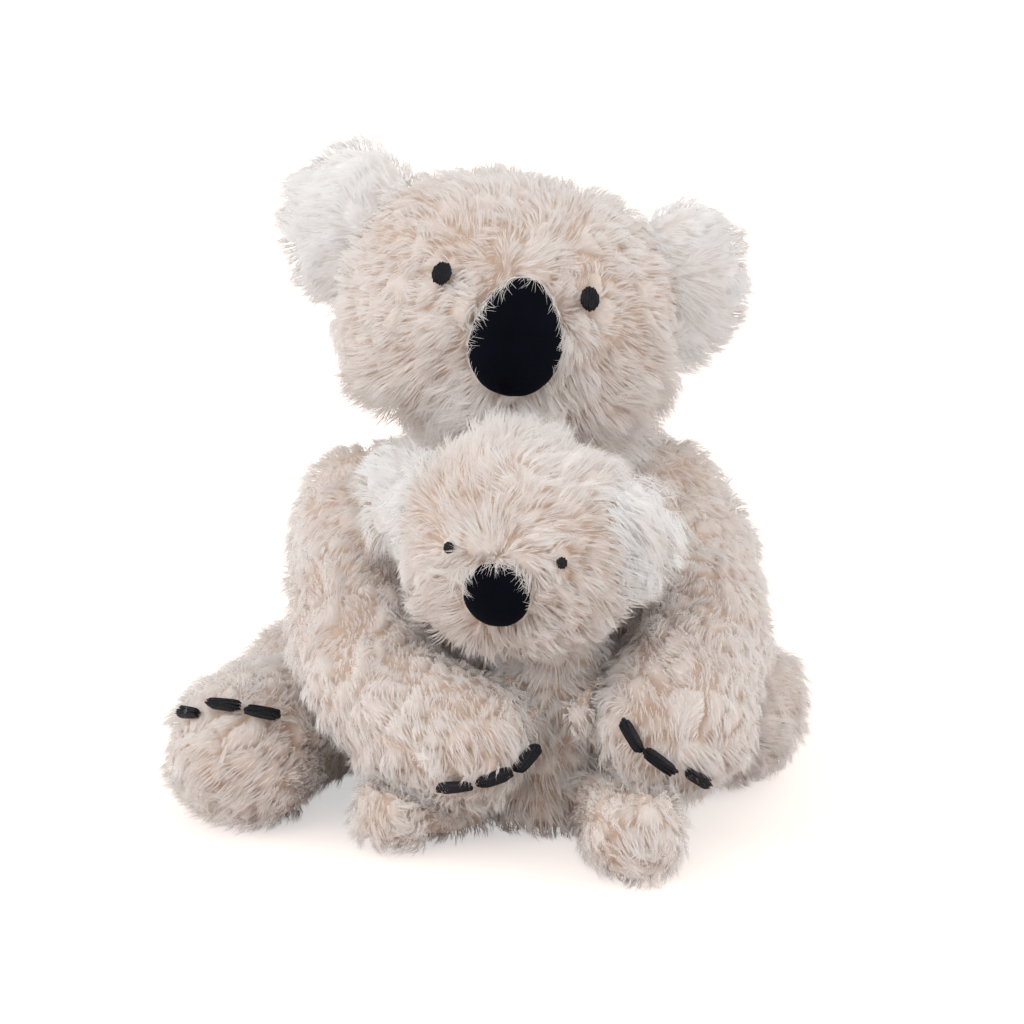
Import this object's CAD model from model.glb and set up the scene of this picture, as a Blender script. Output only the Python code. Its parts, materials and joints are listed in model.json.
"""Looks of a plush koala mother who hugs her baby: long cream pile, white ears, velvet noses, yarn claws.

Every cloth skin is made from its CAD solid, sunk under it by part of the depth of the pile, and carries
pile pieces. The pile is made of locks, each a closed flat spike that bends once, and of fine hairs that
fan out of each lock's end. Locks lean with the nap, gather in tufts, lie over whatever presses on them and
are short round the eyes and claws. A fringe of fine hairs lies over each nose's rim. No modelling operator
gives that finish, so the pile's meshes are written from arrays.
"""
from __future__ import annotations

import json
import logging
import math
from collections.abc import Iterable, Iterator, Sequence
from dataclasses import dataclass, field, replace
from enum import Enum

import bpy
import numpy as np
from mathutils import Matrix, Vector
from mathutils.bvhtree import BVHTree
from mathutils.kdtree import KDTree
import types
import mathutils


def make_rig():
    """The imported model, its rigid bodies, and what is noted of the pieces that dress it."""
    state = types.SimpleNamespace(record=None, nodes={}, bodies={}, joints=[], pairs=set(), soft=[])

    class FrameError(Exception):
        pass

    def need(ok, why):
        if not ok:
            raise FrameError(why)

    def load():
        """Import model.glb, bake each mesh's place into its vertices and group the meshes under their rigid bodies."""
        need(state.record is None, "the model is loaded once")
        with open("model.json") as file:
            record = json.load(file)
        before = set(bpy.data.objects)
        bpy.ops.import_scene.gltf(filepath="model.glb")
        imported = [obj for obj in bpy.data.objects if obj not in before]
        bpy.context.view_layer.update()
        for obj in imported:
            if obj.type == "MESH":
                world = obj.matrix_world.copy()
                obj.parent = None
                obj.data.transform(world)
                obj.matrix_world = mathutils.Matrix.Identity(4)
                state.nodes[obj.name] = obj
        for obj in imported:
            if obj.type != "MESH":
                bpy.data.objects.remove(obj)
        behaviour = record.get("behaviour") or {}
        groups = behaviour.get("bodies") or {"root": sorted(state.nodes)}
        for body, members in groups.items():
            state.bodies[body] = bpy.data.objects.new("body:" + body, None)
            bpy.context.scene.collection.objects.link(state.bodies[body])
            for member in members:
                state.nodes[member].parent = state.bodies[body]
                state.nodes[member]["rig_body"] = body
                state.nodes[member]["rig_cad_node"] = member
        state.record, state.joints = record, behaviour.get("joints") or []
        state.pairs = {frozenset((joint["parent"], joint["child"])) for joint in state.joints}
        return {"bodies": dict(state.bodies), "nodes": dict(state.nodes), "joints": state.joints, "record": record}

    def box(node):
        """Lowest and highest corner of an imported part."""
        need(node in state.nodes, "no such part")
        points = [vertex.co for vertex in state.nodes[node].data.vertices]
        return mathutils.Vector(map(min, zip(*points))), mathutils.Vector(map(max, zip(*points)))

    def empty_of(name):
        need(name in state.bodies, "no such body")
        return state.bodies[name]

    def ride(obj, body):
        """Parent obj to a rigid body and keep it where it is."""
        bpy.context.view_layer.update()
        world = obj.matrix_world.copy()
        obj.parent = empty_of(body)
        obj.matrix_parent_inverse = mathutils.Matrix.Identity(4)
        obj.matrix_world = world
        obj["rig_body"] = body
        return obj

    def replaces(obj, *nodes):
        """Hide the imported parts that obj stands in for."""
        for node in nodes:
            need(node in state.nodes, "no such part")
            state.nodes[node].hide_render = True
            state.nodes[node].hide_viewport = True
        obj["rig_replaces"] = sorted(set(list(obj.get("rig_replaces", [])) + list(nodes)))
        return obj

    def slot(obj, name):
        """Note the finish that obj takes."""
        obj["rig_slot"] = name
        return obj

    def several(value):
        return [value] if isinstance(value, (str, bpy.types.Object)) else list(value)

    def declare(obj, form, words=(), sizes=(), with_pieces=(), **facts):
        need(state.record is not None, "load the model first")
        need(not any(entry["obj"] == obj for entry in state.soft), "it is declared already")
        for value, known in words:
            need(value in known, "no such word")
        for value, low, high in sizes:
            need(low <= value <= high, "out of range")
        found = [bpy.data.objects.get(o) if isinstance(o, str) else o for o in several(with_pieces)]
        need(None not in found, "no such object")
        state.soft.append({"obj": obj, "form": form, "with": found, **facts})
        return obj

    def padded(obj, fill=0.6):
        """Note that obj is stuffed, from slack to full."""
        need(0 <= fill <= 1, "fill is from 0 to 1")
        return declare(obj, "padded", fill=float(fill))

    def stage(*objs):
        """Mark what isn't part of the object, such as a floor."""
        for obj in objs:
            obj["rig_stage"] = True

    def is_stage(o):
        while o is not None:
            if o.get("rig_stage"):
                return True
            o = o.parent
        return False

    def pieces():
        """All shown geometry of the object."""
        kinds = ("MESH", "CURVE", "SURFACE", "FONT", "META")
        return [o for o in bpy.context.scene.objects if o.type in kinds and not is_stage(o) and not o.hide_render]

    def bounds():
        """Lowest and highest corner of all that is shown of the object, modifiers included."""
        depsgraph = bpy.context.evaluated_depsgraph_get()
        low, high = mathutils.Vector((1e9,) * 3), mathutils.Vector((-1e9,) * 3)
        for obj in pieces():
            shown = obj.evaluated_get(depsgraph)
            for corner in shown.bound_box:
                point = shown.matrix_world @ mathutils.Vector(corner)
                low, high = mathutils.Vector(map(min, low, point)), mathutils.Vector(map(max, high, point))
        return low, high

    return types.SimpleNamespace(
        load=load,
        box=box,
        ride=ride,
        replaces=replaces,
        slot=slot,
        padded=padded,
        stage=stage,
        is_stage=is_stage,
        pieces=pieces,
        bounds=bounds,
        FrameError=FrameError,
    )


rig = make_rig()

Piece = bpy.types.Object
Tree = bpy.types.NodeTree
Socket = bpy.types.NodeSocket
Array = np.ndarray

LOG = logging.getLogger("plush_koala")
SIZE_FILE = "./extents.json"
MM = 0.001
DOWN = np.array((0.0, 0.0, -1.0))
STRAND_MAP = "strand"
BAKE_MAP = "OFBake"
TONE_COLUMNS = 16
SIDES = 3
MOST_TRIANGLES = 190000
WAVE_COUNT = 14
FLOOR_CLEARANCE = 0.3 * MM
# Turned into every normal of the pile: loose fibres send light up and forward, whichever way they lean.
SCATTER = np.array((0.0, -0.12, 0.22))
# How near to the head an ear's skin bends into it, and how deep, so that the seam shows no groove.
SEAM_REACH = 5.5 * MM
SEAM_DEPTH = 3.5 * MM
TONE_PATCH = 45.0 * MM
TONE_SPREAD = 0.25
# What both kinds of pile have in common: matt, with a soft sheen and light that passes into the fibres.
SOFT = {"Specular IOR Level": 0.15, "Sheen Roughness": 0.6, "Subsurface Radius": (1.0, 0.9, 0.85),
        "Subsurface Scale": 1.0 * MM}


class Nap(Enum):
    """Where the pile of a piece leans to."""

    FROM_NOSE = "away from the nose"
    OUTWARD = "away from the joint or the head"
    DOWN = "down the body"


def linear(code: str, share: float = 1.0) -> tuple[float, float, float, float]:
    """Turn an sRGB hex colour to the linear colour that a socket takes.

    Args:
        code: a hash and six hex digits.
        share: how much of the colour's light is kept.

    Returns:
        The linear red, green, blue and an alpha of 1.
    """
    values = [int(code[start:start + 2], 16) / 255.0 for start in (1, 3, 5)]
    red, green, blue = (share * (value / 12.92 if value <= 0.04045 else ((value + 0.055) / 1.055) ** 2.4)
                        for value in values)
    return red, green, blue, 1.0


def feed(tree: Tree, node: bpy.types.Node, values: dict) -> bpy.types.Node:
    """Set attributes and inputs of a node.

    Args:
        tree: the node tree.
        node: the node.
        values: attribute names, or inputs by name or number, with a value, or a socket that is linked.

    Returns:
        The node.
    """
    for name, value in values.items():
        if isinstance(value, Socket):
            tree.links.new(value, node.inputs[name])
        elif isinstance(name, int) or name in node.inputs:
            node.inputs[name].default_value = value
        else:
            setattr(node, name, value)
    return node


def add_node(tree: Tree, kind: str, values: dict | None = None) -> bpy.types.Node:
    """Add one shader node of a kind, with values as feed takes them."""
    return feed(tree, tree.nodes.new("ShaderNode" + kind), values or {})


def calc(tree: Tree, operation: str, *values: float | Socket) -> Socket:
    """The result of one Math node, whose inputs are numbers or sockets."""
    return add_node(tree, "Math", {"operation": operation, **dict(enumerate(values))}).outputs[0]


def blend(tree: Tree, share: Socket, first: tuple | Socket, second: tuple | Socket) -> Socket:
    """The first colour where the share is 0, the second where it is 1."""
    return add_node(tree, "Mix", {"data_type": "RGBA", "Factor": share, 6: first, 7: second}).outputs[2]


def ramp(tree: Tree, share: Socket, colours: tuple[str, str, str], places: tuple[float, float, float]
         ) -> Socket:
    """Three colours, each at its place along the share."""
    node = add_node(tree, "ValToRGB", {"Fac": share})
    stops = node.color_ramp.elements
    stops.new(places[1])
    for stop, place, code in zip(stops, places, colours):
        stop.position = place
        stop.color = linear(code)
    return node.outputs["Color"]


def rescale(tree: Tree, value: Socket, *limits: float) -> Socket:
    """A value taken from one range to another, held inside it: its old limits, then its new ones."""
    names = ("From Min", "From Max", "To Min", "To Max")
    return add_node(tree, "MapRange", {"Value": value, **dict(zip(names, limits))}).outputs["Result"]


def object_place(tree: Tree) -> Socket:
    """The place in the piece's own space, so that a pattern stays on it when it moves."""
    return add_node(tree, "TexCoord").outputs["Object"]


def noise(tree: Tree, size: float, detail: float, place: Socket | None = None, **more: float) -> Socket:
    """Soft random patches.

    Args:
        tree: the node tree.
        size: the patches' size.
        detail: how many finer layers they have.
        place: where they are read, in the piece's own space if not given.
        more: the noise's other inputs.

    Returns:
        The value, from 0 to 1.
    """
    values = {"Scale": 1.0 / size, "Detail": detail, "Vector": place or object_place(tree), **more}
    return add_node(tree, "TexNoise", values).outputs["Fac"]


def bump(tree: Tree, height: Socket, strength: float, depth: float) -> Socket:
    """Bumps of a depth, as a normal."""
    return add_node(tree, "Bump", {"Strength": strength, "Distance": depth, "Height": height}
                    ).outputs["Normal"]


def strand_parts(tree: Tree) -> tuple[Socket, Socket]:
    """The strand map's U and V."""
    strand = add_node(tree, "UVMap", {"uv_map": STRAND_MAP}).outputs["UV"]
    parts = add_node(tree, "SeparateXYZ", {"Vector": strand}).outputs
    return parts["X"], parts["Y"]


@dataclass(frozen=True)
class Finish:
    """One material of the toy."""

    name: str

    def paint(self, tree: Tree) -> dict:
        """The values of the Principled shader."""
        raise NotImplementedError

    def material(self) -> bpy.types.Material:
        """Make the material."""
        material = bpy.data.materials.new(self.name)
        material.use_nodes = True
        tree = material.node_tree
        feed(tree, tree.nodes["Principled BSDF"], self.paint(tree))
        return material


@dataclass(frozen=True)
class PileFinish(Finish):
    """Long acrylic pile, knitted and brushed: matt, darker at its root and palest at its tip.

    The strand map's U holds a lock's tone as one of some columns, and runs across the lock inside its
    column. V runs from root to tip. Everything here is read off that map, so that a bake keeps it.
    """

    plain: tuple[str, str, str]
    warm: tuple[str, str, str]
    fibres_across: float = 5.0
    fibre_contrast: float = 0.12
    column_apart: float = 37.0

    def paint(self, tree: Tree) -> dict:
        """Two ramps from root to tip, mixed by the lock's tone, with darker streaks that run along it."""
        across, along = strand_parts(tree)
        columns = calc(tree, "MULTIPLY", across, float(TONE_COLUMNS))
        column = calc(tree, "FLOOR", columns)
        tone = calc(tree, "DIVIDE", column, TONE_COLUMNS - 1.0)
        ramps = [ramp(tree, along, colours, (0.15, 0.48, 0.9)) for colours in (self.plain, self.warm)]
        spread = calc(tree, "MULTIPLY", calc(tree, "FRACT", columns), self.fibres_across)
        apart = calc(tree, "MULTIPLY_ADD", column, self.column_apart, spread)
        place = add_node(tree, "CombineXYZ", {"X": apart, "Y": along}).outputs["Vector"]
        fibres = noise(tree, 1.0, 2.0, place, Roughness=0.6)
        streaks = rescale(tree, fibres, 0.3, 0.7, self.fibre_contrast, 0.0)
        colour = blend(tree, streaks, blend(tree, tone, *ramps), linear(self.warm[0]))
        return {"Base Color": colour, "Roughness": 0.75, "Sheen Weight": 0.25, "Subsurface Weight": 0.6,
                **SOFT}


@dataclass(frozen=True)
class BedFinish(Finish):
    """Dense short fibres at the foot of the long pile: creamy all over, warmer and darker in the valleys.

    The strand map's U holds the tone, and V how open the pile is, from a valley to the top of a clump.
    """

    heights: tuple[str, str, str]
    warm_valley: str
    fibre: float = 0.55 * MM

    def paint(self, tree: Tree) -> dict:
        """A ramp from valley to top with a ragged edge, broken up by fine fibres."""
        tone, openness = strand_parts(tree)
        fibres = noise(tree, self.fibre, 3.0, Roughness=0.65, Distortion=1.2)
        ragged = calc(tree, "ADD", openness, calc(tree, "MULTIPLY_ADD", fibres, 0.9, -0.45))
        cream = ramp(tree, ragged, self.heights, (0.05, 0.45, 0.85))
        warmer = rescale(tree, tone, 0.3, 1.0, 0.0, 0.6)
        return {"Base Color": blend(tree, warmer, cream, linear(self.warm_valley)),
                "Normal": bump(tree, fibres, 0.6, 0.5 * MM), "Roughness": 0.85, "Sheen Weight": 0.3,
                "Subsurface Weight": 0.25, **SOFT}


@dataclass(frozen=True)
class StuffingFinish(Finish):
    """Loose polyester fibre, in one colour with small loops."""

    colour: str
    loop: float = 2.5 * MM
    between: float = 0.85

    def paint(self, tree: Tree) -> dict:
        """One colour, a little darker between the loops."""
        loops = add_node(tree, "TexVoronoi", {"Scale": 1.0 / self.loop, "Vector": object_place(tree)}
                         ).outputs["Distance"]
        return {"Base Color": blend(tree, loops, linear(self.colour), linear(self.colour, self.between)),
                "Normal": bump(tree, loops, 0.4, 0.3 * MM), "Roughness": 0.95, "Specular IOR Level": 0.15}


@dataclass(frozen=True)
class VelvetFinish(Finish):
    """Flocked black velvet with a blue cast, brushed in patches that catch the light a little."""

    dark: str = "#010103"
    light: str = "#090d18"
    sheen: str = "#7d8fb8"
    nap: float = 0.5 * MM
    patch: float = 14.0 * MM

    def paint(self, tree: Tree) -> dict:
        """Brushed patches and a fine nap."""
        brushed = noise(tree, self.patch, 2.0)
        return {"Base Color": blend(tree, brushed, linear(self.dark), linear(self.light)),
                "Normal": bump(tree, noise(tree, self.nap, 3.0), 0.5, 0.2 * MM), "Roughness": 0.85,
                "Specular IOR Level": 0.05, "Sheen Weight": 0.012, "Sheen Roughness": 0.4,
                "Sheen Tint": linear(self.sheen)}


@dataclass(frozen=True)
class YarnFinish(Finish):
    """Black embroidery yarn in satin stitches, a little worn and dusty on top."""

    dark: str = "#09090d"
    light: str = "#30303a"
    thread: float = 0.45 * MM

    def paint(self, tree: Tree) -> dict:
        """Fine fibres, as colour where they are worn and as bumps."""
        threads = noise(tree, self.thread, 2.0)
        worn = rescale(tree, threads, 0.5, 0.75)
        return {"Base Color": blend(tree, worn, linear(self.dark), linear(self.light)),
                "Normal": bump(tree, threads, 0.6, 0.2 * MM), "Roughness": 0.6, "Specular IOR Level": 0.25}


FINISHES = (
    PileFinish("cream_long_pile", ("#d3c5bb", "#e3dbd6", "#edeae9"), ("#c3a998", "#d7c8be", "#e6deda")),
    PileFinish("white_long_pile", ("#e3e0de", "#efeeee", "#f4f4f4"), ("#d9d1cb", "#e8e4e2", "#f0eeed")),
    BedFinish("cream_dense_pile", ("#bea391", "#d6c9c0", "#dfd6d0"), "#c2a28d"),
    BedFinish("white_dense_pile", ("#d9d3cf", "#e8e5e4", "#f0efef"), "#d6cac1"),
    StuffingFinish("polyester_stuffing", "#e9e8e4"),
    VelvetFinish("black_velvet"),
    YarnFinish("black_yarn"),
)


def pick(*pieces: Piece) -> None:
    """Select these pieces and nothing else; the first one is the active one."""
    bpy.ops.object.select_all(action="DESELECT")
    for piece in pieces:
        piece.select_set(True)
    if pieces:
        bpy.context.view_layer.objects.active = pieces[0]


def shade_smooth(piece: Piece) -> None:
    """Shade one piece smooth."""
    pick(piece)
    bpy.ops.object.shade_smooth()


def reshape(piece: Piece, *steps: tuple[str, float]) -> None:
    """Apply modifiers to a piece, one after the other.

    Args:
        piece: the piece.
        steps: REMESH with a voxel's size, SMOOTH with how many rounds, or DISPLACE with how far outward.
    """
    for kind, value in steps:
        modifier = piece.modifiers.new(kind.lower(), kind)
        if kind == "REMESH":
            modifier.mode = "VOXEL"
            modifier.voxel_size = value
        elif kind == "SMOOTH":
            modifier.factor = 0.5
            modifier.iterations = value
        else:
            modifier.mid_level = 0.0
            modifier.strength = value
        pick(piece)
        bpy.ops.object.modifier_apply(modifier=modifier.name)


def merged_copy(node: Piece, name: str, outside_only: bool = False) -> Piece:
    """A copy of a CAD node with its loose triangles merged.

    Args:
        node: the CAD node's object.
        name: the copy's name.
        outside_only: whether a hollow node is wrapped as one convex form without its inside.

    Returns:
        The copy, in the scene.
    """
    copy = bpy.data.objects.new(name, node.data.copy())
    copy.data.name = name
    copy.data.materials.clear()
    bpy.context.scene.collection.objects.link(copy)
    pick(copy)
    bpy.ops.object.mode_set(mode="EDIT")
    bpy.ops.mesh.select_all(action="SELECT")
    bpy.ops.mesh.remove_doubles(threshold=1e-6)
    if outside_only:
        bpy.ops.mesh.convex_hull()
    bpy.ops.object.mode_set(mode="OBJECT")
    return copy


def vertices_of(piece: Piece, kind: str = "co") -> Array:
    """The places of a piece's vertices, or their normals, N by 3."""
    values = np.empty(len(piece.data.vertices) * 3)
    piece.data.vertices.foreach_get(kind, values)
    return values.reshape(-1, 3)


def face_tree(piece: Piece) -> BVHTree:
    """A search tree of a piece's faces."""
    return BVHTree.FromPolygons([vertex.co for vertex in piece.data.vertices],
                                [tuple(polygon.vertices) for polygon in piece.data.polygons])


def point_tree(points: Array, numbers: Iterable[int]) -> KDTree:
    """A search tree of points, each found by its number."""
    tree = KDTree(len(points))
    for point, number in zip(points, numbers):
        tree.insert(point, int(number))
    tree.balance()
    return tree


def waves(points: Array, size: float, seed: int, parts: int = 3) -> Array:
    """Smooth random values, as a sum of waves in random directions.

    Args:
        points: the places, N by 3.
        size: the patches' size in metres.
        seed: what the random draw starts from.
        parts: how many values each place gets.

    Returns:
        N by parts values, mostly from -1 to 1.
    """
    draw = np.random.default_rng(seed)
    total = np.zeros((len(points), parts))
    for _ in range(WAVE_COUNT):
        direction = draw.normal(size=3)
        direction *= (2.0 * math.pi / size) * draw.uniform(0.45, 1.1) / np.linalg.norm(direction)
        phase = draw.uniform(0.0, 2.0 * math.pi, size=parts)
        total += np.sin((points @ direction)[:, None] + phase)
    return total * math.sqrt(2.0 / WAVE_COUNT) * 0.7


def unit(vectors: Array) -> Array:
    """The vectors at length 1."""
    return vectors / np.maximum(np.linalg.norm(vectors, axis=-1, keepdims=True), 1e-9)


def along_surface(vectors: Array, normals: Array) -> Array:
    """The part of each vector that lies in the surface."""
    return vectors - normals * np.sum(vectors * normals, axis=-1, keepdims=True)


def middle_of(name: str) -> Vector:
    """The middle of a CAD node's box."""
    low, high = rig.box(name)
    return (low + high) / 2.0


@dataclass
class Nearby:
    """The CAD solids that pile has to lie clear of or be short by, as search trees."""

    solids: dict[str, BVHTree] = field(default_factory=dict)
    wraps: dict[str, BVHTree] = field(default_factory=dict)
    boxes: dict[str, tuple[Array, Array]] = field(default_factory=dict)

    def add(self, name: str, node: Piece, hollow: bool = False) -> None:
        """Keep one CAD node; a hollow one counts as full where that is asked for."""
        low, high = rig.box(name)
        self.solids[name] = face_tree(node)
        self.boxes[name] = (np.array(low), np.array(high))
        if hollow:
            wrap = merged_copy(node, name + "_wrap", outside_only=True)
            self.wraps[name] = face_tree(wrap)
            bpy.data.objects.remove(wrap)

    def close(self, names: Sequence[str], points: Array, reach: float, full: bool = False
              ) -> Iterator[tuple[BVHTree, int]]:
        """Go through the points that are inside the solids' boxes.

        Args:
            names: the solids' node names.
            points: the places, N by 3.
            reach: how much each box is grown.
            full: whether hollow solids count as full.

        Yields:
            A solid's search tree, and the index of a point in its box.
        """
        for name in names:
            tree = self.wraps.get(name, self.solids[name]) if full else self.solids[name]
            low, high = self.boxes[name]
            inside = np.all(points > low - reach, axis=1) & np.all(points < high + reach, axis=1)
            for index in np.nonzero(inside)[0]:
                yield tree, index

    def distances(self, names: Sequence[str], points: Array, reach: float) -> Array:
        """How far each point is from the nearest of some solids, at most the reach."""
        found = np.full(len(points), reach)
        for tree, index in self.close(names, points, reach):
            distance = tree.find_nearest(points[index], reach)[3]
            if distance is not None:
                found[index] = min(found[index], distance)
        return found

    def closeness(self, name: str, points: Array, begin: float, span: float) -> Array:
        """How close points are to a solid: 0 from a distance on, and 1 where they are nearer by a span."""
        return np.clip((begin - self.distances([name], points, begin)) / span, 0.0, 1.0)

    def feet(self, name: str, points: Array, reach: float) -> tuple[Array, Array]:
        """Where each point's shortest way to a solid, counted as full, ends, and the normal there.

        A point with no solid in reach has itself and no normal.
        """
        ends, normals = points.copy(), np.zeros(points.shape)
        for tree, index in self.close([name], points, reach, full=True):
            spot, normal, _, _ = tree.find_nearest(points[index], reach)
            if spot is not None:
                ends[index], normals[index] = spot, normal
        return ends, normals

    def buried(self, names: Sequence[str], points: Array, depth: float) -> Array:
        """Which points lie deeper than a depth in some solids, hollow ones counted as full."""
        inside = np.zeros(len(points), dtype=bool)
        for tree, index in self.close(names, points, 0.0, full=True):
            spot, normal, _, _ = tree.find_nearest(points[index])
            if spot is not None and (Vector(points[index]) - spot).dot(normal) < -depth:
                inside[index] = True
        return inside

    def covered(self, names: Sequence[str], points: Array, normals: Array, reach: float) -> Array:
        """Which points have one of some solids straight above them, within the reach."""
        under = np.zeros(len(points), dtype=bool)
        for tree, index in self.close(names, points, reach):
            if tree.ray_cast(points[index], normals[index], reach)[0] is not None:
                under[index] = True
        return under

    def push_out(self, names: Sequence[str], points: Array, clearance: float) -> None:
        """Move points that are in a solid, or closer to it than the clearance, straight out of it."""
        for tree, index in self.close(names, points, clearance):
            spot, normal, _, _ = tree.find_nearest(points[index])
            if spot is not None:
                height = (Vector(points[index]) - spot).dot(normal)
                if height < clearance:
                    points[index] += np.array(normal) * (clearance - height)


@dataclass
class Pile:
    """How the long pile of one piece stands: length, nap, tufts and density."""

    nap: Nap
    source: Vector
    length: float = 10.5 * MM
    root_depth: float = 2.2 * MM
    locks_per_square_cm: float = 35.0
    rise: tuple[float, float] = (0.54, 0.08)
    lean: tuple[float, float] = (0.66, 1.0)
    swirl: float = 0.42
    droop: float = 0.12
    tuft_locks: int = 12
    tuft_pull: float = 0.16
    clumps_per_square_cm: float = 1.0
    clump_height: float = 2.4 * MM
    clump_turn: float = 0.34
    width: float = 0.52 * MM
    hairs: int = 2
    hair_width: float = 0.25 * MM
    stray: float = 0.08
    thinned: float = 0.75
    fringe_reach: float = 1.05
    fringe_from: float = -0.35
    part_round: float = 0.45
    trim: float = 0.35
    warmth: float = 0.36
    wisp_reach: float = 8.0 * MM
    ruff: tuple[float, float, float] = (0.0, 1.0, 0.0)
    seed: int = 1

    def nap_at(self, points: Array) -> Array:
        """The direction that the pile is brushed in at each point."""
        if self.nap is Nap.DOWN:
            return np.broadcast_to(DOWN, points.shape).copy()
        sag = 0.35 if self.nap is Nap.FROM_NOSE else 0.25
        return unit(unit(points - np.array(self.source)) + sag * DOWN)

    def tones(self, points: Array) -> Array:
        """How warm the pile is in each broad patch."""
        return self.warmth + TONE_SPREAD * waves(points, TONE_PATCH, self.seed + 7, 1)[:, 0]


@dataclass
class Locks:
    """Closed spikes along lines of points, with the side they face, their widths, heights and tones."""

    lines: Array
    facing: Array
    widths: Array
    tones: Array
    flatness: float
    shares: tuple[float, ...]
    reach: tuple[float, float] = (0.03, 0.97)

    def __len__(self) -> int:
        """How many spikes there are."""
        return len(self.lines)

    def triangles_each(self) -> int:
        """How many triangles one spike has."""
        return 2 * SIDES * (self.lines.shape[1] - 2) + SIDES + 1

    def some(self, chosen: Array) -> Locks:
        """The spikes that are chosen by index or by a mask."""
        return replace(self, lines=self.lines[chosen], facing=self.facing[chosen],
                       widths=self.widths[chosen], tones=self.tones[chosen])


def surface_samples(cloth: Piece, per_square_cm: float, seed: int) -> tuple[Array, Array]:
    """Random places all over a cloth, as many per area.

    Args:
        cloth: the cloth's object, at the origin.
        per_square_cm: how many places go on a square centimetre.
        seed: what the random draw starts from.

    Returns:
        The places and the smooth normals there, both N by 3.
    """
    mesh = cloth.data
    mesh.calc_loop_triangles()
    corners = np.empty(len(mesh.loop_triangles) * 3, dtype=np.int32)
    mesh.loop_triangles.foreach_get("vertices", corners)
    corners = corners.reshape(-1, 3)
    spots, normals = vertices_of(cloth), vertices_of(cloth, "normal")
    first, second, third = (spots[corners[:, corner]] for corner in range(3))
    areas = 0.5 * np.linalg.norm(np.cross(second - first, third - first), axis=1)
    draw = np.random.default_rng(seed)
    count = max(8, int(areas.sum() * 1e4 * per_square_cm))
    chosen = draw.choice(len(areas), size=count, p=areas / areas.sum())
    share = draw.uniform(size=(count, 2))
    flip = share.sum(axis=1) > 1.0
    share[flip] = 1.0 - share[flip]
    weights = np.column_stack((1.0 - share.sum(axis=1), share))[:, :, None]
    places = (spots[corners[chosen]] * weights).sum(axis=1)
    return places, unit((normals[corners[chosen]] * weights).sum(axis=1))


@dataclass
class Clumps:
    """The soft clumps that the pile gathers in round their middles, with valleys between them."""

    centres: Array
    seed: int
    edge: float = 5.0 * MM

    def __post_init__(self) -> None:
        """Make the middles' search tree."""
        self.tree = point_tree(self.centres, range(len(self.centres)))

    def find(self, points: Array) -> tuple[Array, Array]:
        """Each point's clump, and how open the pile is: 0 in a valley and 1 well inside a clump."""
        places = points + waves(points, 13.0 * MM, self.seed) * (1.5 * MM)
        found = [self.tree.find_n(place, 2) for place in places]
        clump = np.array([pair[0][1] for pair in found])
        inside = np.array([pair[1][2] - pair[0][2] for pair in found])
        share = np.clip(inside / self.edge, 0.0, 1.0)
        return clump, share * share * (3.0 - 2.0 * share)


def leaders_of(points: Array, each: int, seed: int) -> Array:
    """For each lock the index of its leader: the closest of some, about one in each so many locks."""
    draw = np.random.default_rng(seed)
    leaders = draw.choice(len(points), size=max(1, len(points) // each), replace=False)
    tree = point_tree(points[leaders], leaders)
    return np.array([tree.find(point)[1] for point in points])


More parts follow.
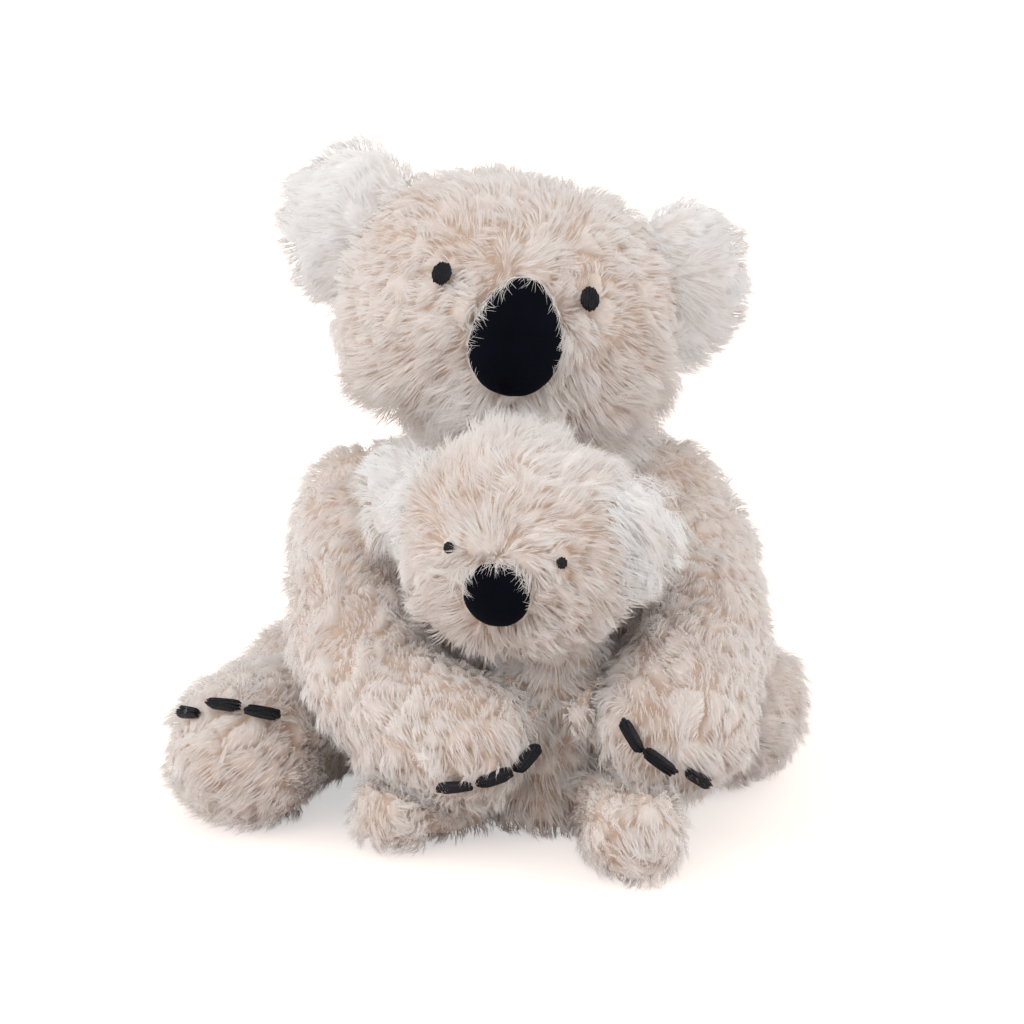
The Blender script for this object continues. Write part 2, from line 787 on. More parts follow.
@dataclass
class Barber:
    """Grows the pile of one piece on its cloth, clear of the solids round it."""

    piece: StuffedPiece
    nearby: Nearby
    clumps: Clumps
    pressing: list[str]
    hidden_depth: float = 2.5 * MM
    cover: float = 14.0 * MM
    squeeze: float = 2.0 * MM
    floor_reach: float = 6.0 * MM
    fringe_root: float = 15.0 * MM

    def roots(self, cloth: Piece) -> tuple[Array, Array]:
        """Where the locks stand, and the normals there.

        They stand all over the cloth, but not under what is sewn on or inside other pieces. There are
        fewer where something presses on them, and more round a nose.
        """
        pile, piece = self.piece.pile, self.piece
        places, normals = surface_samples(cloth, pile.locks_per_square_cm, pile.seed)
        hidden = self.nearby.buried(self.pressing, places, self.hidden_depth)
        hidden |= self.nearby.covered(piece.sewn_on + piece.noses, places, normals, self.cover)
        draw = np.random.default_rng(pile.seed + 9)
        squeezed = self.nearby.distances(self.pressing, places, 2.0 * self.squeeze) < self.squeeze
        squeezed |= (places[:, 2] < self.floor_reach) & (normals[:, 2] < -0.5)
        hidden |= squeezed & (draw.uniform(size=len(places)) < pile.thinned)
        places, normals = places[~hidden], normals[~hidden]
        fringe = self.nearby.distances(piece.noses, places, self.fringe_root + MM) < self.fringe_root
        beside = places[fringe] + draw.normal(scale=0.8 * MM, size=(int(fringe.sum()), 3))
        return np.concatenate((places, beside)), np.concatenate((normals, normals[fringe]))

    def fringe_share(self, places: Array) -> tuple[Array, Array]:
        """How far each lock belongs to the fringe over a nose's rim, and which way that hangs."""
        share, toward = np.zeros(len(places)), np.zeros(places.shape)
        for nose in self.piece.noses:
            low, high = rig.box(nose)
            middle = np.array((low + high) / 2.0)
            half = float(high.z - low.z) / 2.0
            upper = np.clip(((places[:, 2] - middle[2]) / half - self.piece.pile.fringe_from) / 0.6, 0.0, 1.0)
            share = self.nearby.closeness(nose, places, 6.0 * MM, 4.0 * MM) * upper
            toward = unit(middle - places)
        return share, toward

    def ear_share(self, places: Array) -> tuple[Array, Array]:
        """How far each lock belongs to the wisps beside an ear's seam, and which way those hang."""
        share, drape = np.zeros(len(places)), np.zeros(places.shape)
        for ear in self.piece.ears:
            middle = np.array(middle_of(ear))
            near = self.nearby.closeness(ear, places, self.piece.pile.wisp_reach, 3.0 * MM)
            drape += unit(unit(middle - places) + 0.9 * DOWN) * near[:, None]
            share = np.maximum(share, near)
        return share, drape

    def parting(self, places: Array, normals: Array) -> tuple[Array, Array]:
        """Which way the locks part round the eyes and claws, and how close each is to one, from 0 to 1."""
        away, closeness = np.zeros(places.shape), np.zeros(len(places))
        above = places + normals * 3.0 * MM
        for name in self.piece.sewn_on:
            near = self.nearby.closeness(name, above, 8.0 * MM, 6.5 * MM)
            away += (places - np.array(middle_of(name))) * near[:, None]
            closeness = np.maximum(closeness, near)
        return unit(along_surface(away, normals)), closeness

    def lines(self, places: Array, normals: Array) -> tuple[Array, Array]:
        """The locks' centre lines and their tones.

        Args:
            places: the roots, N by 3.
            normals: the cloth's normals there.

        Returns:
            N by 3 by 3 points, from root to tip, and the N tones.
        """
        pile = self.piece.pile
        draw = np.random.default_rng(pile.seed + 1)
        count = len(places)
        # The lean: brushed along the nap, swirled in broad patches, and turned clump by clump.
        nap = unit(along_surface(pile.nap_at(places), normals))
        swirl = waves(places, 36.0 * MM, pile.seed + 2) + 0.5 * waves(places, 15.0 * MM, pile.seed + 3)
        clump, openness = self.clumps.find(places)
        clump_count = len(self.clumps.centres)
        clump_turns = draw.normal(scale=pile.clump_turn, size=(clump_count, 3))
        clump_sizes = draw.uniform(0.86, 1.14, size=clump_count)
        clump_tones = draw.uniform(-0.5, 0.5, size=clump_count)
        lean = unit(nap + along_surface(swirl * pile.swirl + clump_turns[clump], normals))
        share, toward = self.fringe_share(places)
        toward = unit(along_surface(toward, normals))
        lean = lean * (1.0 - share)[:, None] + toward * share[:, None]
        parting, closeness = self.parting(places, normals)
        lean += parting * (pile.part_round * closeness)[:, None]
        beside, drape = self.ear_share(places)
        lean = lean * (1.0 - beside)[:, None] + drape * beside[:, None]
        stray = draw.normal(scale=pile.stray, size=places.shape)
        # The lengths: shorter in the valleys and round what is sewn on, longer in wisps and a ruff.
        lengths = pile.length * draw.uniform(0.8, 1.1, size=count) * clump_sizes[clump]
        lengths *= 1.0 + 0.10 * waves(places, 30.0 * MM, pile.seed + 5, 1)[:, 0]
        lengths *= (0.82 + 0.18 * openness) * (1.0 - pile.trim * closeness)
        lengths *= 1.0 + (pile.fringe_reach - 1.0) * share + 0.5 * beside
        begin, full, gain = pile.ruff
        ruff = gain * np.clip((places[:, 2] - begin) / (full - begin), 0.0, 1.0)
        lengths *= 1.0 + ruff
        lines = np.empty((count, 3, 3))
        lines[:, 0] = places - normals * pile.root_depth
        step = lengths / 2.0
        # The first half stands up from the cloth and the second lies down along it.
        for bend, (lifted, pulled) in enumerate(((0.9, 0.45), (-0.1, 1.35))):
            rise = pile.rise[bend] + lifted * share + 0.6 * ruff
            pull = pile.lean[bend] * (1.0 - share) + pulled * share
            way = normals * rise[:, None] + lean * pull[:, None] + DOWN * (pile.droop * bend)
            way = unit(way + stray * (0.7 + 0.3 * bend))
            start = places if bend == 0 else lines[:, bend]
            lines[:, bend + 1] = start + way * step[:, None]
        # The ends draw together to their leader's, as brushed pile does in tufts.
        tuft = leaders_of(places, pile.tuft_locks, pile.seed + 6)
        for bend, strength in ((1, 0.3), (2, 1.0)):
            goal = lines[tuft, bend] + (places - places[tuft]) * 0.35
            lines[:, bend] += (goal - lines[:, bend]) * (pile.tuft_pull * strength)
        tones = pile.tones(places)
        tones += 0.30 * clump_tones[clump] + 0.70 * (0.5 - openness) + draw.normal(scale=0.06, size=count)
        return lines, np.clip(tones, 0.0, 1.0)

    def settle(self, points: Array) -> None:
        """Lay points on whatever presses on the pile, and keep them off the floor."""
        for names, clearance in ((self.pressing, 0.4), (self.piece.sewn_on, 0.8), (self.piece.noses, 0.5)):
            self.nearby.push_out(names, points, clearance * MM)
        points[:, 2] = np.maximum(points[:, 2], FLOOR_CLEARANCE)

    def grow(self, cloth: Piece) -> tuple[Locks, Locks]:
        """Grow the locks of a cloth, and the fine hairs that fan out of them."""
        pile = self.piece.pile
        places, normals = self.roots(cloth)
        lines, tones = self.lines(places, normals)
        for bend in (1, 2):
            points = lines[:, bend].copy()
            self.settle(points)
            lines[:, bend] = points
        draw = np.random.default_rng(pile.seed + 8)
        count = len(places)
        widths = pile.width * draw.uniform(0.7, 1.25, size=count)
        locks = Locks(lines, normals, widths, tones, 0.34, (1.0, 0.72))
        across = unit(np.cross(unit(lines[:, 2] - lines[:, 1]), normals))
        strands = []
        for number in range(pile.hairs):
            side = (number + 0.5) / pile.hairs * 2.0 - 1.0
            side = side * 0.36 + draw.normal(scale=0.08, size=count)
            back = 0.4 * draw.uniform(0.15, 0.75, size=count)[:, None] - 0.4
            begin = lines[:, 1] + (lines[:, 1] - lines[:, 0]) * back
            begin = begin + across * (side * widths * 0.7)[:, None]
            fan = across * (side * 0.5 + draw.normal(scale=0.12, size=count))[:, None]
            lift = normals * (0.05 + draw.normal(scale=0.09, size=count))[:, None]
            way = unit(unit(lines[:, 2] - begin) + fan + lift)
            long = np.linalg.norm(lines[:, 2] - begin, axis=1) * draw.uniform(1.0, 1.3, size=count)
            end = begin + way * long[:, None]
            self.settle(end)
            strands.append(np.stack((begin, end), axis=1))
        strands = np.concatenate(strands)
        hair_tones = np.tile(tones, pile.hairs) + draw.normal(scale=0.12, size=len(strands))
        hair_widths = pile.hair_width * draw.uniform(0.7, 1.2, size=len(strands))
        hairs = Locks(strands, np.tile(normals, (pile.hairs, 1)), hair_widths,
                      np.clip(hair_tones, 0.0, 1.0), 0.8, (1.0,), (0.55, 0.98))
        return locks, hairs


def locks_mesh(name: str, locks: Locks) -> Piece:
    """Make one mesh of closed three-sided spikes.

    Args:
        name: the piece's name.
        locks: the spikes.

    Returns:
        The piece, at the origin, with its strand map, its bake map and soft normals.
    """
    count, points_each = locks.lines.shape[:2]
    ring_count = points_each - 1
    facing = locks.facing
    rings, normals = [], []
    for ring in range(ring_count):
        along = unit(locks.lines[:, ring + 1] - locks.lines[:, max(ring - 1, 0)])
        across = unit(np.cross(along, facing))
        above = np.cross(across, along)
        half = (locks.widths * locks.shares[ring] / 2.0)[:, None]
        high = half * 2.0 * locks.flatness
        for side, up in ((-1.0, 0.0), (0.0, 1.0), (1.0, 0.0)):
            rings.append(locks.lines[:, ring] + across * (half * side) + above * (high * up))
            normals.append(unit(facing + above * 0.2 + across * (0.14 * side) + SCATTER))
    rings.append(locks.lines[:, -1])
    normals.append(unit(facing * 0.8 + above * 0.2 + SCATTER))
    vertices = np.stack(rings, axis=1).reshape(-1, 3)
    tip = SIDES * ring_count
    last = tip - SIDES
    edges = [(side, (side + 1) % SIDES) for side in range(SIDES)]
    faces = [(ring + one, ring + other, ring + other + SIDES, ring + one + SIDES)
             for ring in range(0, last, SIDES) for one, other in edges]
    faces += [(last + one, last + other, tip) for one, other in edges]
    faces.append(tuple(reversed(range(SIDES))))
    pattern = np.array([corner for face in faces for corner in face], dtype=np.int64)
    sizes = np.array([len(face) for face in faces], dtype=np.int64)
    underside = np.repeat(np.arange(len(faces)) % SIDES == SIDES - 1, sizes)
    loop_normals = np.stack(normals, axis=1)[:, pattern]
    loop_normals[:, underside] = -above[:, None, :]
    loops = (pattern[None, :] + np.arange(count, dtype=np.int64)[:, None] * (tip + 1)).ravel()
    totals = np.tile(sizes, count)
    starts = np.concatenate(([0], np.cumsum(totals)[:-1]))
    mesh = bpy.data.meshes.new(name)
    mesh.vertices.add(len(vertices))
    mesh.vertices.foreach_set("co", vertices.ravel().astype(np.float32))
    mesh.loops.add(len(loops))
    mesh.loops.foreach_set("vertex_index", loops.astype(np.int32))
    mesh.polygons.add(len(totals))
    mesh.polygons.foreach_set("loop_start", starts.astype(np.int32))
    mesh.polygons.foreach_set("use_smooth", np.ones(len(totals), dtype=bool))
    mesh.update(calc_edges=True)
    mesh.normals_split_custom_set(loop_normals.reshape(-1, 3).astype(np.float32))
    steps = np.linspace(*locks.reach, points_each)
    heights = np.append(np.repeat(steps[:-1], SIDES), steps[-1])
    sides_map = np.append(np.tile((0.08, 0.5, 0.92), ring_count), 0.5)
    column = np.round(locks.tones * (TONE_COLUMNS - 1))
    tone = (column[:, None] + sides_map[pattern][None, :]).ravel() / TONE_COLUMNS
    places = np.column_stack((tone, np.tile(heights[pattern], count))).ravel().astype(np.float32)
    for map_name in (STRAND_MAP, BAKE_MAP):
        mesh.uv_layers.new(name=map_name).uv.foreach_set("vector", places)
    piece = bpy.data.objects.new(name, mesh)
    bpy.context.scene.collection.objects.link(piece)
    return piece


@dataclass
class Workshop:
    """What every piece is made with: the CAD nodes, the finishes, the search trees and a count."""

    nodes: dict[str, Piece]
    materials: dict[str, bpy.types.Material]
    nearby: Nearby = field(default_factory=Nearby)
    stuffed: list[str] = field(default_factory=list)
    triangles: int = 0

    def tie(self, piece: Piece, body: str, slot: str, finish: str) -> None:
        """Dress a piece and tie it to a body of the frame.

        Args:
            piece: the piece.
            body: the body that it moves with.
            slot: the material slot of the CAD that it stands for.
            finish: its material's name.
        """
        piece.data.materials.clear()
        piece.data.materials.append(self.materials[finish])
        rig.ride(piece, body)
        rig.slot(piece, slot)
        piece.data.calc_loop_triangles()
        self.triangles += len(piece.data.loop_triangles)

    def lay(self, name: str, spikes: Locks, body: str, coat: Coat) -> None:
        """Make the meshes of some spikes, each small enough to be kept whole.

        Light passes through thin acrylic fibres, so the pile casts no shadow on itself: the cloths do.

        Args:
            name: the pieces' name.
            spikes: the spikes.
            body: the body that they move with.
            coat: the finish of the pile.
        """
        total = len(spikes)
        parts = math.ceil(total * spikes.triangles_each() / MOST_TRIANGLES)
        for part in range(parts):
            piece = locks_mesh(name if parts == 1 else f"{name}_{part + 1}",
                               spikes.some(np.arange(part, total, parts)))
            self.tie(piece, body, coat.slot, coat.pile)
            piece.visible_shadow = False


@dataclass(frozen=True)
class Coat:
    """One colour of plush: the finishes of its long and its dense pile, and its slot."""

    pile: str
    bed: str
    slot: str


CREAM = Coat("cream_long_pile", "cream_dense_pile", "cream_plush")
WHITE = Coat("white_long_pile", "white_dense_pile", "white_plush")


@dataclass
class StuffedPiece:
    """One stuffed piece of the toy: a cloth skin under its CAD solid and the pile on it."""

    node: str
    body: str
    pile: Pile
    coat: Coat = CREAM
    hollow: bool = False
    sink: float = 1.8 * MM
    lumps: float = 1.1 * MM
    voxel: float = 2.0 * MM
    sewn_on: tuple[str, ...] = ()
    noses: tuple[str, ...] = ()
    ears: tuple[str, ...] = ()
    mingles: tuple[str, ...] = ()
    rooted_in: str = ""
    cream_back: bool = False

    def reach_to_root(self, shop: Workshop, spots: Array) -> Array:
        """How an ear's skin moves into the head where it is sewn on, so that no groove opens there."""
        feet, normals = shop.nearby.feet(self.rooted_in, spots, SEAM_REACH)
        height = np.sum((spots - feet) * normals, axis=1)
        share = np.clip((SEAM_REACH - height) / (0.4 * SEAM_REACH), 0.0, 1.0)
        return normals * (-share * np.maximum(height + SEAM_DEPTH, 0.0))[:, None]

    def make_cloth(self, shop: Workshop, node: Piece) -> tuple[Piece, Clumps]:
        """The skin with its dense pile: the CAD solid's outside, sunk a little, with the clumps raised on it.

        Args:
            shop: what every piece is made with.
            node: the CAD node.

        Returns:
            The skin, and the clumps on it.
        """
        cloth = merged_copy(node, self.node + "_cloth", self.hollow)
        reshape(cloth, ("REMESH", self.voxel), ("SMOOTH", 4), ("DISPLACE", -self.sink),
                ("REMESH", self.voxel), ("SMOOTH", 5))
        pile, mesh = self.pile, cloth.data
        clumps = Clumps(surface_samples(cloth, pile.clumps_per_square_cm, pile.seed + 30)[0], pile.seed + 31)
        spots, normals = vertices_of(cloth), vertices_of(cloth, "normal")
        _, openness = clumps.find(spots)
        swell = waves(spots, 34.0 * MM, pile.seed + 20, 1)[:, 0] * self.lumps
        swell += (openness - 0.95) * pile.clump_height
        spots += normals * swell[:, None]
        if self.rooted_in:
            spots += self.reach_to_root(shop, spots)
        spots[:, 2] = np.maximum(spots[:, 2], 1.5 * MM)
        mesh.vertices.foreach_set("co", spots.ravel())
        mesh.update()
        corners = np.empty(len(mesh.loops), dtype=np.int32)
        mesh.loops.foreach_get("vertex_index", corners)
        strand = np.column_stack((np.clip(pile.tones(spots), 0.0, 1.0), 0.12 + 0.76 * openness))[corners]
        mesh.uv_layers.new(name=STRAND_MAP).uv.foreach_set("vector", strand.ravel().astype(np.float32))
        shade_smooth(cloth)
        return cloth, clumps

    def build(self, shop: Workshop) -> None:
        """Make the cloth and its pile, and tie both to the frame."""
        cloth, clumps = self.make_cloth(shop, shop.nodes[self.node])
        pressing = [name for name in shop.stuffed if name != self.node and name not in self.mingles]
        barber = Barber(self, shop.nearby, clumps, pressing)
        locks, hairs = barber.grow(cloth)
        for kind, spikes in (("locks", locks), ("hairs", hairs)):
            back = (spikes.facing[:, 1] > 0.25) & self.cream_back
            wisps = barber.ear_share(spikes.lines[:, 0])[0] > 0.35
            for place, chosen, coat in (("", ~back & ~wisps, self.coat), ("back_", back, CREAM),
                                        ("wisp_", wisps, WHITE)):
                shop.lay(f"{self.node}_{place}{kind}", spikes.some(chosen), self.body, coat)
        shop.tie(cloth, self.body, self.coat.slot, self.coat.bed)
        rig.replaces(cloth, self.node)
        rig.padded(cloth, fill=0.7)
        LOG.info("%s: %d locks, %d hairs, %d triangles so far", self.node, len(locks), len(hairs),
                 shop.triangles)


def node_axes(node: Piece) -> tuple[Vector, Matrix, Vector]:
    """The middle of a small sewn piece, its axes as columns, and its length, width and thickness."""
    spots = np.unique(np.round(vertices_of(node), 7), axis=0)
    middle = (spots.max(axis=0) + spots.min(axis=0)) / 2.0
    _, _, axes = np.linalg.svd(spots - spots.mean(axis=0), full_matrices=False)
    if np.dot(np.cross(axes[0], axes[1]), axes[2]) < 0.0:
        axes[2] = -axes[2]
    inside = (spots - middle) @ axes.T
    size = inside.max(axis=0) - inside.min(axis=0)
    return Vector(middle), Matrix(axes.tolist()).transposed(), Vector(size)


def blunt(thread: Piece) -> None:
    """Make a round ball a capsule along X, so that a thread scaled from it ends bluntly."""
    spots = vertices_of(thread)
    along = spots[:, 0].copy()
    spots[:, 0] = 0.0
    outward = np.linalg.norm(spots, axis=1)
    spots *= (np.maximum(outward, 1e-6) ** -0.55)[:, None]
    spots[:, 0] = np.sign(along) * np.abs(along) ** 0.6
    thread.data.vertices.foreach_set("co", spots.ravel())
    thread.data.update()


@dataclass
class SatinStitches:
    """Threads of yarn side by side, each as long as a claw or as high as an eye."""

    node: str
    body: str
    thread: float = 0.62 * MM
    height: float = 1.2
    lift: float = 0.5 * MM
    power: float = 2.6
    seed: int = 1

    def build(self, shop: Workshop) -> None:
        """Lay the threads one by one over the CAD piece's form, and join them."""
        middle, axes, (length, width, thickness) = node_axes(shop.nodes[self.node])
        outward = axes.col[2]
        if outward.dot(middle - middle_of(self.body)) < 0.0:
            outward = -outward
        frame = Matrix.Translation(middle + outward * self.lift) @ axes.to_4x4()
        draw = np.random.default_rng(self.seed)
        count = max(3, round(width / self.thread))
        threads = []
        for number in range(count):
            share = (number + 0.5) / count * 2.0 - 1.0
            round_off = math.sqrt(max(0.05, 1.0 - abs(share) ** self.power))
            reach = length / 2.0 * round_off * (1.0 + 0.06 * draw.normal())
            pick()
            bpy.ops.mesh.primitive_uv_sphere_add(segments=8, ring_count=9, radius=1.0)
            thread = bpy.context.object
            blunt(thread)
            high = thickness / 2.0 * self.height * (0.55 + 0.45 * round_off)
            scale = Vector((reach, self.thread * 0.80, high))
            place = Matrix.Translation(Vector((0.0, share * width / 2.0, 0.0)))
            turn = Matrix.Rotation(0.035 * float(draw.normal()), 4, "Z")
            thread.data.transform(frame @ place @ turn @ Matrix.Diagonal((*scale, 1.0)))
            threads.append(thread)
        pick(*threads)
        bpy.ops.object.join()
        stitched = bpy.context.object
        stitched.name = self.node + "_stitches"
        bpy.ops.object.shade_smooth()
        shop.tie(stitched, self.body, "black_thread", "black_yarn")
        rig.replaces(stitched, self.node)


@dataclass
class VelvetNose:
    """A stuffed nose of black velvet, whose form is its CAD solid's with rounder edges."""

    node: str
    body: str
    fringe_length: tuple[float, float]
    seed: int
    fringe_per_square_cm: float = 75.0
    fringe_lift: float = 0.9 * MM

    def fringe(self, velvet: Piece, shop: Workshop) -> Locks:
        """The fine ends of the head's pile that lie over the nose's rim, all round but its lower edge.

        Args:
            velvet: the nose's piece.
            shop: what every piece is made with.

        Returns:
            The hairs.
        """
        low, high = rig.box(self.node)
        middle = np.array((low + high) / 2.0)
        front = unit(middle - np.array(middle_of(self.body)))
        places, normals = surface_samples(velvet, self.fringe_per_square_cm, self.seed)
        draw = np.random.default_rng(self.seed + 1)
        facing = normals @ front
        rim = (facing > 0.0) & (facing < draw.uniform(0.35, 0.7, size=len(places)))
        rim &= places[:, 2] > middle[2] - draw.uniform(0.2, 0.8, size=len(places)) * (high.z - low.z) / 2.0
        places, normals = places[rim], normals[rim]
        count = len(places)
        sway = 0.35 * waves(places, 5.0 * MM, self.seed + 2) + draw.normal(scale=0.14, size=places.shape)
        inward = unit(along_surface(unit(middle - places) + sway, normals))
        long = draw.uniform(*self.fringe_length, size=count)[:, None]
        root = places - inward * (2.5 * MM)
        bend, up = shop.nearby.feet(self.node, places + inward * (0.45 * long), 12.0 * MM)
        bend = bend + up * self.fringe_lift
        tip, up = shop.nearby.feet(self.node, places + inward * long, 12.0 * MM)
        tip = tip + up * (self.fringe_lift + 0.1 * long)
        return Locks(np.stack((root, bend, tip), axis=1), normals, draw.uniform(0.13, 0.22, size=count) * MM,
                     draw.uniform(0.1, 0.9, size=count), 0.8, (1.0, 0.8), (0.25, 0.95))

    def build(self, shop: Workshop) -> None:
        """Round the CAD nose off, dress it, and lay the head's fringe over its rim."""
        nose = merged_copy(shop.nodes[self.node], self.node + "_velvet")
        reshape(nose, ("REMESH", 0.9 * MM), ("SMOOTH", 14), ("DISPLACE", 0.35 * MM))
        shade_smooth(nose)
        shop.tie(nose, self.body, "black_velvet", "black_velvet")
        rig.replaces(nose, self.node)
        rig.padded(nose, fill=0.9)
        shop.lay(self.node + "_fringe", self.fringe(nose, shop), self.body, CREAM)


@dataclass
class Filling:
    """Loose polyester inside a hollow skin, a little smaller than its CAD solid."""

    node: str
    body: str
    give: float = 2.5 * MM

    def build(self, shop: Workshop) -> None:
        """Shrink the filling so that it stays under the sunk cloth."""
        fibres = merged_copy(shop.nodes[self.node], self.node + "_fibres")
        reshape(fibres, ("REMESH", 3.0 * MM), ("DISPLACE", -self.give), ("SMOOTH", 3))
        shade_smooth(fibres)
        shop.tie(fibres, self.body, "polyester_filling", "polyester_stuffing")
        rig.replaces(fibres, self.node)
        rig.padded(fibres, fill=0.7)


@dataclass
class Koala:
    """One animal: a body, a head with nose, eyes and ears, and four limbs.

    Where its limbs and ears come in the order sets their seeds. Roots are given for limbs that swing on the
    body, as the middle, half the distance between the two, and how far back and up, in millimetres.
    """

    name: str
    body: str
    seed: int
    part_seed: int
    eye_seed: int
    nose_seed: int
    fringe_length: tuple[float, float]
    order: tuple[str, str, str]
    body_pile: dict
    head_pile: dict
    ear_pile: dict
    ear_sink: float
    ear_voxel: float
    roots: dict[str, tuple[float, float, float, float]] = field(default_factory=dict)
    sinks: dict[str, float] = field(default_factory=dict)

    def limb(self, side: str, kind: str, seed: int) -> StuffedPiece:
        """An arm or a leg, whose pile is brushed away from its root."""
        name = f"{self.name}_{side}_{kind}"
        if kind in self.roots:
            middle, apart, back, height = self.roots[kind]
            root = Vector(((middle + (-apart if side == "right" else apart)) * MM, back * MM, height * MM))
            claws = tuple(f"{name}_claw_{claw}" for claw in (1, 2, 3))
            return StuffedPiece(name, name, Pile(Nap.OUTWARD, root, seed=seed), sewn_on=claws)
        low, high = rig.box(name)
        root = Vector(((low.x + high.x) / 2.0, high.y, (low.z + high.z) / 2.0))
        return StuffedPiece(name, self.body, Pile(Nap.OUTWARD, root, seed=seed),
                            sink=self.sinks.get(kind, 1.8 * MM))

    def ear(self, side: str, seed: int) -> StuffedPiece:
        """A flat ear, white in front and cream behind, whose skin reaches into the head."""
        head = self.name + "_head"
        pile = Pile(Nap.OUTWARD, middle_of(head), locks_per_square_cm=42.0, seed=seed, **self.ear_pile)
        return StuffedPiece(f"{self.name}_{side}_ear", head, pile, WHITE, sink=self.ear_sink,
                            voxel=self.ear_voxel, cream_back=True, mingles=(head,), rooted_in=head)

    def stuffed(self) -> list[StuffedPiece]:
        """Its stuffed pieces, body first."""
        head, nose = self.name + "_head", self.name + "_nose"
        eyes, ears = (tuple(f"{self.name}_{side}_{kind}" for side in ("right", "left"))
                      for kind in ("eye", "ear"))
        pieces = [
            StuffedPiece(self.name + "_body", self.body,
                         Pile(Nap.DOWN, Vector(), seed=self.seed, **self.body_pile), hollow=True),
            StuffedPiece(head, head,
                         Pile(Nap.FROM_NOSE, middle_of(nose), seed=self.seed + 100, **self.head_pile),
                         hollow=True, sewn_on=eyes, noses=(nose,), ears=ears, mingles=ears),
        ]
        for number, side in enumerate(("right", "left")):
            for place, kind in enumerate(self.order):
                seed = self.part_seed + 100 * place + 50 * number
                pieces.append(self.ear(side, seed) if kind == "ear" else self.limb(side, kind, seed))
        return pieces

    def details(self) -> list[SatinStitches | VelvetNose | Filling]:
        """Its nose, fillings, eyes and claws."""
        head = self.name + "_head"
        made: list[SatinStitches | VelvetNose | Filling] = [
            VelvetNose(self.name + "_nose", head, self.fringe_length, self.nose_seed),
            Filling(self.name + "_body_filling", self.body),
            Filling(self.name + "_head_filling", head),
        ]
        for number, side in enumerate(("right", "left")):
            made.append(SatinStitches(f"{self.name}_{side}_eye", head, seed=self.eye_seed + number))
            for kind in self.roots:
                limb = f"{self.name}_{side}_{kind}"
                made += [SatinStitches(f"{limb}_claw_{claw}", limb, power=7.0, seed=20 + 3 * number + claw)
                         for claw in (1, 2, 3)]
        return made


MOTHER = Koala(
    "mother", "mother_body", seed=100, part_seed=500, eye_seed=10, nose_seed=60,
    fringe_length=(1.5 * MM, 5.0 * MM), order=("arm", "leg", "ear"),
    body_pile={"length": 12.0 * MM, "ruff": (116.0 * MM, 142.0 * MM, 0.5)},
    head_pile={"fringe_reach": 1.1, "part_round": 0.4, "wisp_reach": 5.5 * MM,
               "ruff": (192.0 * MM, 168.0 * MM, 0.5)},
    ear_pile={"length": 11.5 * MM, "rise": (0.5, 0.16), "droop": 0.2, "clump_height": 1.2 * MM,
              "clump_turn": 0.35, "swirl": 0.4},
    ear_sink=1.2 * MM, ear_voxel=1.8 * MM,
    roots={"arm": (-6.0, 60.0, 6.0, 116.0), "leg": (0.0, 56.0, 8.0, 34.0)})
BABY = Koala(
    "baby", "baby", seed=300, part_seed=800, eye_seed=40, nose_seed=65,
    fringe_length=(1.0 * MM, 3.0 * MM), order=("ear", "arm", "leg"), body_pile={},
    head_pile={"wisp_reach": 11.0 * MM, "part_round": 0.9, "trim": 0.5, "swirl": 0.5, "clump_turn": 0.4,
               "ruff": (130.0 * MM, 155.0 * MM, 0.4)},
    ear_pile={"length": 13.0 * MM, "droop": 0.6, "clump_height": 1.6 * MM},
    ear_sink=1.0 * MM, ear_voxel=1.5 * MM, sinks={"arm": 1.6 * MM})


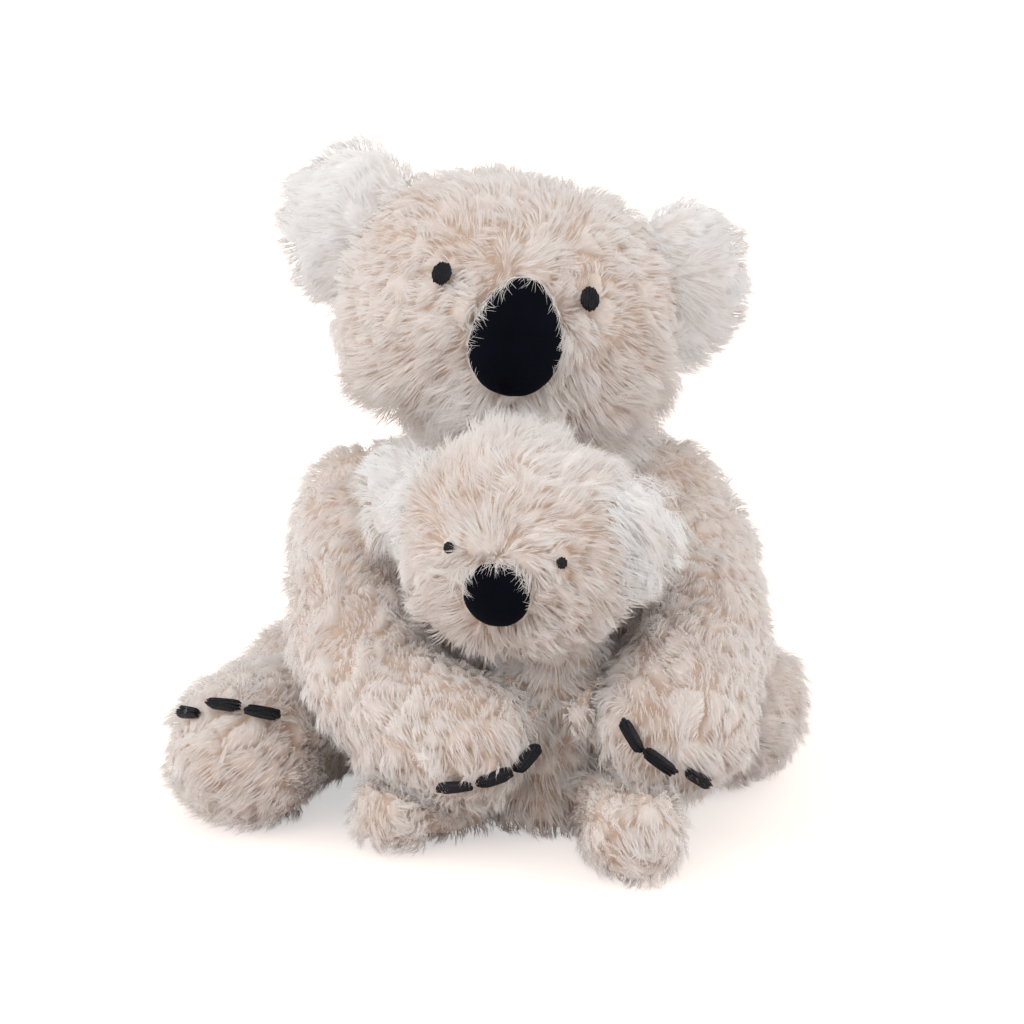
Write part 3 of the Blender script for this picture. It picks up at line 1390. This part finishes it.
@dataclass
class Studio:
    """The pale floor, the soft lights and the camera at the photograph's angle."""

    aim: Vector = field(default_factory=lambda: Vector((-7.5, 0.0, 113.7)) * MM)
    distance: float = 1015.0 * MM
    elevation: float = math.radians(15.0)
    lens_mm: float = 85.0
    sensor_mm: float = 36.0
    floor_size: float = 40.0
    floor_colour: str = "#dacbc2"
    lamp_tint: tuple[float, float, float] = (0.965, 0.985, 1.0)
    ambient_tint: tuple[float, float, float] = (1.0, 0.96, 0.925)
    ambient: float = 0.67
    lamp_height: float = 1.2
    lamp_share: float = 0.27
    far_glow: float = 0.80

    def add_camera(self) -> None:
        """Set the camera in front of the toy, a little above it."""
        data = bpy.data.cameras.new("camera")
        data.lens = self.lens_mm
        data.sensor_width = self.sensor_mm
        camera = bpy.data.objects.new("camera", data)
        bpy.context.scene.collection.objects.link(camera)
        back = Vector((0.0, -math.cos(self.elevation), math.sin(self.elevation)))
        camera.location = self.aim + back * self.distance
        camera.rotation_euler = (-back).to_track_quat("-Z", "Y").to_euler()
        bpy.context.scene.camera = camera

    def seen_directly(self, tree: Tree) -> Socket:
        """Whether a ray comes from the camera, or from it by way of gloss or glass."""
        path = add_node(tree, "LightPath").outputs
        gloss = calc(tree, "MAXIMUM", path["Is Camera Ray"], path["Is Glossy Ray"])
        return calc(tree, "MAXIMUM", gloss, path["Is Transmission Ray"])

    def add_floor(self) -> None:
        """Lay the pale floor, which keeps the toy's shadow and is white to the camera.

        The floor glows to the camera by as much as the lamps' light falls short of white farther out.
        """
        pick()
        bpy.ops.mesh.primitive_plane_add(size=self.floor_size)
        floor = bpy.context.object
        floor.name = "floor"
        material = bpy.data.materials.new("pale_floor")
        material.use_nodes = True
        tree = material.node_tree
        shader = feed(tree, tree.nodes["Principled BSDF"], {
            "Base Color": linear(self.floor_colour), "Roughness": 0.9, "Specular IOR Level": 0.1})
        away = add_node(tree, "VectorMath", {"operation": "LENGTH", 0: object_place(tree)}).outputs["Value"]
        share = calc(tree, "DIVIDE", away, self.lamp_height)
        lit = calc(tree, "POWER", calc(tree, "MULTIPLY_ADD", share, share, 1.0), -2.0)
        lacking = calc(tree, "MULTIPLY_ADD", lit, -self.lamp_share, self.far_glow)
        lacking.node.use_clamp = True
        strength = calc(tree, "MULTIPLY", self.seen_directly(tree), lacking)
        glow = add_node(tree, "Emission", {"Color": (1.0, 1.0, 1.0, 1.0), "Strength": strength})
        total = add_node(tree, "AddShader", {0: shader.outputs[0], 1: glow.outputs[0]})
        tree.links.new(total.outputs[0], tree.nodes["Material Output"].inputs["Surface"])
        floor.data.materials.append(material)
        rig.stage(floor)

    def add_lamp(self, name: str, place: Vector, size: float, watts: float) -> None:
        """Add one soft box that faces the toy.

        Args:
            name: the lamp's name.
            place: where it hangs, from the toy's middle.
            size: its side.
            watts: its power.
        """
        data = bpy.data.lights.new(name, "AREA")
        data.size = size
        data.energy = watts
        data.color = self.lamp_tint
        lamp = bpy.data.objects.new(name, data)
        bpy.context.scene.collection.objects.link(lamp)
        lamp.location = self.aim + place
        lamp.rotation_euler = (-place).to_track_quat("-Z", "Y").to_euler()

    def add_world(self) -> None:
        """Light everything evenly, and show white behind the toy."""
        world = bpy.data.worlds.new("studio")
        bpy.context.scene.world = world
        world.use_nodes = True
        tree = world.node_tree
        ambient = feed(tree, tree.nodes["Background"],
                       {"Color": (*self.ambient_tint, 1.0), "Strength": self.ambient})
        white = add_node(tree, "Background", {"Color": (1.0, 1.0, 1.0, 1.0), "Strength": 1.0})
        mix = add_node(tree, "MixShader", {0: self.seen_directly(tree), 1: ambient.outputs[0],
                                           2: white.outputs[0]})
        tree.links.new(mix.outputs[0], tree.nodes["World Output"].inputs["Surface"])

    def build(self) -> None:
        """Set the whole studio up."""
        self.add_camera()
        self.add_floor()
        self.add_lamp("left_box", Vector((-1.35, -0.5, 0.7)), 1.4, 13.2)
        self.add_lamp("right_box", Vector((1.4, -0.4, 0.7)), 1.4, 12.2)
        self.add_lamp("front_box", Vector((-0.2, -0.9, 1.4)), 1.2, 5.8)
        self.add_world()
        bpy.context.scene.view_settings.view_transform = "Standard"


def main() -> None:
    """Build the toy's looks in order, and report each piece."""
    logging.basicConfig(level=logging.INFO, format="%(message)s")
    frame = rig.load()
    cad_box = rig.bounds()
    pick()
    Studio().build()
    shop = Workshop(frame["nodes"], {finish.name: finish.material() for finish in FINISHES})
    animals = (MOTHER, BABY)
    pieces = [piece for animal in animals for piece in animal.stuffed()]
    for piece in pieces:
        shop.stuffed.append(piece.node)
        shop.nearby.add(piece.node, shop.nodes[piece.node], piece.hollow)
        for name in piece.sewn_on + piece.noses:
            shop.nearby.add(name, shop.nodes[name])
    for piece in pieces:
        piece.build(shop)
    for animal in animals:
        for detail in animal.details():
            detail.build(shop)
    # The pellet bag keeps its CAD form: it lies inside the filling, where no eye gets.
    bag = shop.nodes["mother_pellet_bag"]
    bag.data.materials.clear()
    bag.data.materials.append(shop.materials["polyester_stuffing"])
    LOG.info("triangles in all: %d", shop.triangles)
    with open(SIZE_FILE, "w", encoding="utf-8") as file:
        json.dump({"cad": [list(corner) for corner in cad_box],
                   "visual": [list(corner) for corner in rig.bounds()]}, file)


if __name__ == "__main__":
    main()
